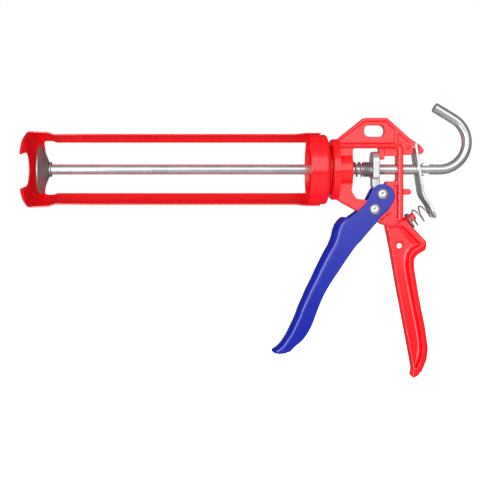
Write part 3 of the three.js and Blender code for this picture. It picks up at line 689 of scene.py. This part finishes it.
def hub():
    """Neck, flange and boss in one turned piece with the rod's bore."""
    f, b, n, bend = FLANGE, BOSS, NECK, HUB_BEND
    return lathe("hub", [
        (n["x0"], ROD_BORE_R, bend["bore"]), (n["x0"], n["r"], bend["neck"]), (f["x0"], n["r"], bend["root"]),
        (f["x0"], f["r"] - f["chamfer"], bend["flange"]), (f["x0"] + f["chamfer"], f["r"], bend["flange"]),
        (f["x1"], f["r"], bend["flange"]), (f["x1"], b["r"], bend["boss"]), (b["x1"], b["r"], bend["boss"]),
        (b["x1"], ROD_BORE_R, bend["mouth"]),
    ])


def spring_peg():
    p = PEG
    foot = Vector((p["x"], 0, p["z"])) - PEG_AXIS * p["sunk"]
    length = p["length"] + p["sunk"]
    line = [foot + PEG_AXIS * s for s in (0, p["foot"], length - p["lead"], length)]
    return sweep("peg", line, p["r"], p["sides"], p["chamfer"])


def casting():
    """The CAD casting with finer round parts, in one skin with soft edges and fillets."""
    rear_edge = prism("edge", GRIP_REAR_EDGE, -GRIP_EDGE_HALF, GRIP_EDGE_HALF)
    parts = [hub(), spring_peg(), rear_edge, recess_slope(1), recess_slope(-1)]
    return reskin(gather(copy_of("handle_body", "casting"), parts), **CASTING_SKIN)


# ---------- trigger ----------
def half_section(depth, half, bend, start):
    """Half a U as (distance behind the front, distance across), from the rear edge round the bend."""
    turns = quarter_turn(BEND_STEPS)
    arc = [(start + bend * (1 - math.sin(t)), half - bend * (1 - math.cos(t))) for t in turns]
    return [(depth, half)] + arc


def trigger_ring(front, rear, share):
    """One closed section of the channel, `share` of the way down it."""
    front, rear = Vector((front[0], 0, front[1])), Vector((rear[0], 0, rear[1]))
    back = (rear - front).normalized()
    depth = (rear - front).length + EDGE_ALLOWANCE
    sheet, half = TRIGGER["sheet"], TRIGGER["half"]
    bend = min(TRIGGER["bend"] * (1 - share) + TRIGGER["end_bend"] * share, depth - sheet)
    outer = half_section(depth, half, bend, 0)
    inner = half_section(depth, half - sheet, bend - sheet, sheet)
    section = outer + [(a, -y) for a, y in outer[::-1]] + [(a, -y) for a, y in inner] + inner[::-1]
    return [tuple(front + back * a + Vector((0, y, 0))) for a, y in section]


def trigger_channel():
    count = TRIGGER["steps"]
    fronts, rears = curve_through(TRIGGER_FRONT, count), curve_through(TRIGGER_REAR, count)
    rings = [trigger_ring(f, r, i / (count - 1)) for i, (f, r) in enumerate(zip(fronts, rears))]
    size = len(rings[0])
    faces = bands(count - 1, size)
    for start in (0, (count - 1) * size):
        end = start + size - 1
        faces += [(start + k, start + k + 1, end - 1 - k, end - k) for k in range(size // 2 - 1)]
    return mesh_object("trigger_lever", [p for section in rings for p in section], faces)


def squared(value):
    """Pushes a sine or cosine outward, so that a circle becomes squarer."""
    return math.copysign(abs(value) ** TIP["squareness"], value)


def trigger_tip():
    """The closed end: rounded sections, from inside the channel to a blunt tip."""
    count, sides = TIP["steps"], TIP["sides"]
    turns = [2 * math.pi * k / sides for k in range(sides)]
    vertices = []
    for i, (front, rear) in enumerate(zip(curve_through(TIP_FRONT, count), curve_through(TIP_REAR, count))):
        middle, reach = (front + rear) / 2, (front - rear) / 2
        t = i / (count - 1)
        width = TRIGGER["half"] * math.sqrt(1 - TIP["narrowing"] * t ** TIP["narrowing_power"])
        for turn in turns:
            along, across = squared(math.cos(turn)), squared(math.sin(turn))
            vertices.append((middle[0] + reach[0] * along, width * across, middle[1] + reach[1] * along))
    return mesh_object("tip", vertices, end_caps(len(vertices), sides) + bands(count - 1, sides))


def trigger():
    half, inside = TRIGGER["half"], TRIGGER["half"] - TRIGGER["sheet"]
    parts = [trigger_tip()]
    for y0, y1 in ((-half, -inside), (inside, half)):
        parts.append(prism("cheek", TRIGGER_CHEEK, y0, y1))
        parts.append(prism("eye", circle(EYE["x"], EYE["z"], EYE["r"], FINE_ROUND), y0, y1))
    return reskin(gather(trigger_channel(), parts), **TRIGGER_SKIN)


def rivet(name, centre, segments=SMALL_ROUND):
    """Turned about Y: a shank across the trigger, with a low domed head at each end."""
    profile = [(radius, -y) for radius, y in RIVET_HALF[::-1]] + RIVET_HALF[1:]
    size = len(profile)
    turns = [2 * math.pi * k / segments for k in range(segments)]
    vertices = [
        (centre[0] + radius * math.cos(t), y, centre[1] + radius * math.sin(t))
        for t in turns for radius, y in profile
    ]
    faces = []
    for k in range(segments):
        a, b = k * size, (k + 1) % segments * size
        faces += [(a + j, a + j + 1, b + j + 1, b + j) for j in range(size - 1)]
    return shade(mesh_object(name, vertices, faces), RIVET_SHARP)


# ---------- rod and plunger ----------
def rod_line():
    """The rod's axis: straight to the hook's bend, round the bend and along its tail."""
    h, front = HOOK, ROD["front"]
    line = [(front, 0, 0), (front + ROD["lead"], 0, 0)]
    line += [(x, 0, 0) for x in np.linspace(front + ROD["straight"], h["x"] - OVER, ROD["steps"])]
    turns = np.linspace(-math.pi / 2, h["end"], h["steps"])
    line += [(h["x"] + h["r"] * math.cos(t), 0, h["r"] + h["r"] * math.sin(t)) for t in turns]
    bend_end = Vector(line[-1])
    along = Vector((-math.sin(h["end"]), 0, math.cos(h["end"])))
    tail = [*np.linspace(h["tail_start"], h["tail"] - h["lead"], h["tail_steps"]), h["tail"]]
    return line + [tuple(bend_end + along * s) for s in tail]


def ear(sign):
    e = EARS
    flush, high = sign * (ROD["r"] - e["sunk"]), sign * e["half_height"]
    points = [
        (e["x0"], flush), (e["x0"] + e["slope"], high, e["corner"]),
        (e["x1"] - e["slope"], high, e["corner"]), (e["x1"], flush),
    ]
    return prism("pad", points, -e["half_width"], e["half_width"])


def push_rod():
    s = STUD
    obj = sweep("rod", rod_line(), ROD["r"], ROD["sides"], ROD["chamfer"])
    line = [(x, 0, 0) for x in (s["front"], s["front"] + s["lead"], ROD["front"] + OVER)]
    stud = sweep("stud", line, s["r"], s["sides"], s["chamfer"])
    return shade(combine(obj, [stud, ear(1), ear(-1)], "UNION"))


def plunger_disc():
    """A pressed cone: its rim is at the front and its hub stands back on the rod's shoulder."""
    d, bend = DISC, DISC_BEND
    hub_back = d["hub"] + d["thick"]
    return shade(lathe("disc", [
        (d["rim"], d["rim_r"], bend["rim_front"]), (d["rim"] + d["thick"], d["rim_r"], bend["rim_back"]),
        (hub_back, d["hub_r"], bend["hub"]), (hub_back, d["bore"], bend["bore"]),
        (d["hub"], d["bore"], bend["bore"]), (d["hub"], d["hub_r"] - d["inset"], bend["hub"]),
        (d["rim"], d["rim_r"] - d["lip"], bend["lip"]),
    ]))


def plunger_nut():
    """A hexagon with its corners turned off at both ends."""
    n = NUT
    r, bore = n["across"] / math.sqrt(3), DISC["bore"]
    turns = [math.pi * k / 3 for k in range(6)]
    corners = [(r * math.sin(t), r * math.cos(t)) for t in turns]
    hexagon = prism_x("nut", corners, n["x0"], n["x1"])
    bevel = lathe("bevel", [
        (n["x0"], bore), (n["x0"], r - n["chamfer"]), (n["x0"] + n["chamfer_x"], r + n["clear"]),
        (n["x1"] - n["chamfer_x"], r + n["clear"]), (n["x1"], r - n["chamfer"]), (n["x1"], bore),
    ], edge=n["edge"])
    return shade(combine(hexagon, [bevel], "INTERSECT"))


def lock_washer():
    w = LOCK_WASHER
    obj = ring("spring_washer", w["x0"], w["x1"], w["r"], w["bore"])
    half, high = w["slit"] / 2, w["slit_top"]
    points = [(-half, 0), (half, 0), (half, high), (-half, high)]
    slit = prism_x("slit", points, w["x0"] - OVER, w["x1"] + OVER)
    return shade(combine(obj, [slit], "DIFFERENCE"))


# ---------- springs, dog and catch plate ----------
def coil(name, base, axis, wire, turns, rise, radius):
    """A wire wound about an axis. `rise` and `radius` say how far up and out it is after so many turns."""
    base, axis = Vector(base), Vector(axis)
    u = Vector((0, 1, 0))
    v = axis.cross(u)
    steps = round(turns * COIL["steps"])
    line = []
    for k in range(steps + 1):
        turn = turns * k / steps
        angle = 2 * math.pi * turn
        line.append(base + axis * rise(turn) + (u * math.cos(angle) + v * math.sin(angle)) * radius(turn))
    return shade(sweep(name, line, wire, COIL["sides"], wire * COIL["chamfer"]))


def drive_spring():
    """Open at the casting, then closed against the dog."""
    s = DRIVE_SPRING
    open_length = s["x1"] - s["x0"] - s["closed"] * s["pitch"]

    def rise(turn):
        if turn < s["open"]:
            return open_length * turn / s["open"]
        return open_length + (turn - s["open"]) * s["pitch"]

    turns = s["open"] + s["closed"]
    return coil("dog_spring", (s["x0"], 0, 0), (1, 0, 0), s["wire"], turns, rise, lambda turn: s["r"])


def catch_spring():
    """Closed at the peg's foot, then open, with its end bent in towards the slot in the catch plate."""
    s = CATCH_SPRING
    coiled = s["closed"] + s["open"]
    length = s["closed"] * s["pitch"] + s["open"] * s["open_pitch"]

    def rise(turn):
        if turn > coiled:
            return length + s["hook_rise"] * (turn - coiled) / s["hook"]
        return s["pitch"] * min(turn, s["closed"]) + s["open_pitch"] * max(turn - s["closed"], 0)

    def radius(turn):
        inward = max(turn - coiled, 0) / s["hook"]
        return s["r"] * (1 - inward) + s["hook_r"] * inward

    return coil("plate_spring", (s["x"], 0, s["z"]), PEG_AXIS, s["wire"], coiled + s["hook"], rise, radius)


def drive_dog():
    """The CAD dog with its top rounded into an arch."""
    half, top, low, r = DOG["half"], DOG["top"], DOG["low"], DOG["arch_r"]
    points = [(-half, low), (half, low), (half, top, r), (-half, top, r)]
    arch = prism_x("arch", points, DOG["x0"], DOG["x1"])
    return reskin(combine(copy_of("drive_dog", "dog"), [arch], "INTERSECT"), **DOG_SKIN)


def bent_strip():
    """The catch plate in side view, at its full width."""
    p, last = PLATE, len(PLATE_LINE) - 1
    sides = []
    for i, point in enumerate(PLATE_LINE):
        before, after = PLATE_LINE[max(i - 1, 0)][:2], PLATE_LINE[min(i + 1, last)][:2]
        direction = (Vector(after) - Vector(before)).normalized()
        sides.append((point, Vector((-direction.y, direction.x)) * p["thick"] / 2))
    near = [(q[0] + s.x, q[1] + s.y, *q[2:]) for q, s in sides]
    back = [(q[0] - s.x, q[1] - s.y, *q[2:]) for q, s in sides]
    return prism("plate", near + back[::-1], -p["half"], p["half"])


def catch_plate():
    """The strip with a notched top, rounded corners, the rod's hole and a slot for the spring."""
    p, bend = PLATE, PLATE_BEND
    half, notch, high, low = p["half"], p["notch"], p["top"] + OVER, p["tab"] - OVER
    face = prism_x("face", [
        (-half, high, bend["top"]), (-notch, high, bend["notch"]),
        (-notch, p["notch_z"], bend["notch_floor"]), (notch, p["notch_z"], bend["notch_floor"]),
        (notch, high, bend["notch"]), (half, high, bend["top"]),
        (half, low, bend["tab"]), (-half, low, bend["tab"]),
    ], *PLATE_REACH)
    wide, top, bottom = PLATE_SLOT["half"], PLATE_SLOT["top"], low - OVER
    holes = [
        disc_x("hole", 0, 0, p["hole_r"], *HOLE_REACH), disc_x("slot_end", 0, top, wide, *TAB_REACH),
        prism_x("slot", [(-wide, bottom), (wide, bottom), (wide, top), (-wide, top)], *TAB_REACH),
    ]
    return reskin(combine(combine(bent_strip(), [face], "INTERSECT"), holes, "DIFFERENCE"), **PLATE_SKIN)


# ---------- pieces on their bodies ----------
def swivel_pieces():
    settle(cradle(), "carriage_frame", "carriage", RED)
    settle(rear_cup(), "rear_cup", "carriage", RED)
    washer = shade(ring("washer", **WASHER))
    settle(washer, "swivel_washer", "handle", RED)
    retainer = shade(ring("retainer", **RETAINER))
    settle(retainer, "swivel_retainer", "handle", DISC_STEEL)


def handle_pieces():
    settle(casting(), "handle_body", "handle", RED)
    settle(trigger(), "trigger", "trigger_lever", BLUE)
    settle(rivet("rivet_low", PIVOT), "pivot_rivet", "trigger_lever", RIVET_STEEL)
    settle(rivet("rivet_high", DRIVE_PIN), "drive_rivet", "trigger_lever", RIVET_STEEL)
    settle(drive_dog(), "drive_dog", "dog", DOG_STEEL)


def rod_pieces():
    settle(push_rod(), "push_rod", "rod", ROD_STEEL)
    settle(plunger_disc(), "plunger_disc", "plunger", DISC_STEEL)
    collar = shade(ring("collar", **COLLAR))
    settle(collar, "plunger_collar", "rod", DISC_STEEL)
    settle(plunger_nut(), "plunger_nut", "rod", ROD_STEEL)
    settle(lock_washer(), "plunger_lock_washer", "rod", SPRING_STEEL)


def plate_and_springs():
    settle(catch_plate(), "catch_plate", "catch", PLATE_STEEL)
    spring = settle(drive_spring(), "drive_spring", "handle", SPRING_STEEL)
    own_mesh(spring)
    spring = settle(catch_spring(), "catch_spring", "handle", SPRING_STEEL)
    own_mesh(spring)


# ---------- floor, lights and camera ----------
AMBIENT = (1.1, 1.1, 1.1, 1)
WHITE = (1, 1, 1, 1)
# What a reflection sees, by its height in degrees over the front (-Y) horizon.
REFLECTED = [
    (-179, 0.2), (-164, 0.03), (-128, 0.02), (-92, 0.06), (-60, 0.25), (-35, 0.4), (-20, 0.3), (-13, 0.15),
    (-9.5, 0.15), (-6.5, 0.34), (-3.7, 0.95), (-1, 1.45), (38, 1.45), (42, 0.5), (62, 0.2), (85, 0.1),
    (110, 0.02), (164, 0.02), (179, 0.2),
]
# The soft box's half-width, as the sideways part of a direction: full, then faded.
BOX_SIDES = (0.4, 0.75)
SIDE_LEVEL = 0.12

FLOOR = {"half": 6, "drop": 0.3, "light": (0.9, 0.9, 0.9, 1), "dark": (0.86, 0.86, 0.86, 1), "glow": 0.9}
LIGHT_TARGET = (-0.12, 0, 0.06)
# Each light: place, what it looks at, width, height (metres) and radiance.
LIGHTS = {
    "front": ((-0.12, -1.45, 0.1), LIGHT_TARGET, 1.5, 1.2, 0.7),
    "low": ((-0.12, -0.6, -1.1), LIGHT_TARGET, 1.2, 0.8, 2.0),
    "high": ((-0.12, -0.3, 1.25), LIGHT_TARGET, 1.2, 0.8, 0.9),
    "back": ((-0.12, 1.45, 0.3), LIGHT_TARGET, 1.5, 1.2, 0.7),
    "strip": ((-0.61, -1.18, 0), (-0.06, 0, 0), 0.34, 1.4, 4.2),
}
CAMERA = {"lens": 69.75, "shift": (0.0625, -0.125), "place": (-0.1556, -0.744, 0.0896)}


def floor():
    """A plain pale floor, which only the camera sees."""
    size, height = FLOOR["half"], cad_low.z - FLOOR["drop"]
    corners = [(-size, -size, height), (size, -size, height), (size, size, height), (-size, size, height)]
    mesh = bpy.data.meshes.new("floor")
    mesh.from_pydata(corners, [], [(0, 1, 2, 3)])
    obj = link(bpy.data.objects.new("floor", mesh))
    finish = Finish("floor")
    grain = finish.scaled(finish.noise(scale=6), low=0.3, high=0.7)
    finish.link(finish.mix(grain, FLOOR["dark"], FLOOR["light"]), finish.shader.inputs["Base Color"])
    finish.set("Roughness", 0.9)
    finish.set("Emission Color", WHITE)
    finish.set("Emission Strength", FLOOR["glow"])
    mesh.materials.append(finish.material)
    obj.visible_glossy = False
    obj.visible_diffuse = False
    obj.visible_shadow = False


def soft_light(name, location, target, width, height, radiance):
    """A large soft light. Reflections don't see it, as they come from the world's soft box."""
    light = bpy.data.lights.new(name, "AREA")
    light.shape = "RECTANGLE"
    light.size, light.size_y = width, height
    light.energy = radiance * math.pi * width * height
    obj = link(bpy.data.objects.new(name, light))
    obj.location = location
    obj.rotation_euler = (Vector(target) - Vector(location)).to_track_quat("-Z", "Y").to_euler()
    obj.visible_glossy = False
    return obj


def soft_box(nodes, direction):
    """The reflected studio: a tall soft box in front, faded to its sides, and dark above and behind."""
    split = nodes.add("ShaderNodeSeparateXYZ")
    nodes.link(direction, split.inputs["Vector"])
    front = nodes.math("MULTIPLY", split.outputs["Y"], -1)
    height = nodes.math("ARCTAN2", split.outputs["Z"], front)
    ramp = nodes.add("ShaderNodeValToRGB")
    band = ramp.color_ramp
    while len(band.elements) < len(REFLECTED):
        band.elements.new(0.5)
    for element, (degrees, level) in zip(band.elements, REFLECTED):
        element.position = 0.5 + degrees / 360
        element.color = (level, level, level, 1)
    nodes.link(nodes.scaled(height, low=-math.pi, high=math.pi), ramp.inputs["Fac"])
    sideways = nodes.math("ABSOLUTE", split.outputs["X"])
    fade = nodes.scaled(sideways, *BOX_SIDES, new_low=1, new_high=SIDE_LEVEL)
    reflected = nodes.add("ShaderNodeVectorMath", operation="SCALE")
    nodes.link(ramp.outputs["Color"], reflected.inputs[0])
    nodes.link(fade, reflected.inputs["Scale"])
    return reflected.outputs["Vector"]


def world():
    """White behind the object, an even light for diffuse surfaces, and a soft box for reflections."""
    scene = bpy.context.scene
    scene.world = bpy.data.worlds.new("studio")
    scene.world.use_nodes = True
    scene.world.cycles.sampling_method = "NONE"
    nodes = Nodes(scene.world.node_tree)
    direction = nodes.add("ShaderNodeTexCoord").outputs["Generated"]
    path = nodes.add("ShaderNodeLightPath")
    unseen = nodes.mix(path.outputs["Is Glossy Ray"], AMBIENT, soft_box(nodes, direction))
    seen = nodes.mix(path.outputs["Is Camera Ray"], unseen, WHITE)
    nodes.link(seen, nodes.tree.nodes["Background"].inputs["Color"])


def camera():
    data = bpy.data.cameras.new("camera")
    data.lens = CAMERA["lens"]
    data.shift_x, data.shift_y = CAMERA["shift"]
    obj = link(bpy.data.objects.new("camera", data))
    obj.location = CAMERA["place"]
    obj.rotation_euler = (math.radians(90), 0, 0)
    bpy.context.scene.camera = obj


def studio():
    lights = {name: soft_light(name, *settings) for name, settings in LIGHTS.items()}
    # The strip is the one light that shows as a highlight, along the trigger's bend.
    lights["strip"].visible_glossy = True
    bpy.context.scene.view_settings.view_transform = "Standard"


floor()
world()
camera()
studio()
swivel_pieces()
handle_pieces()
rod_pieces()
plate_and_springs()
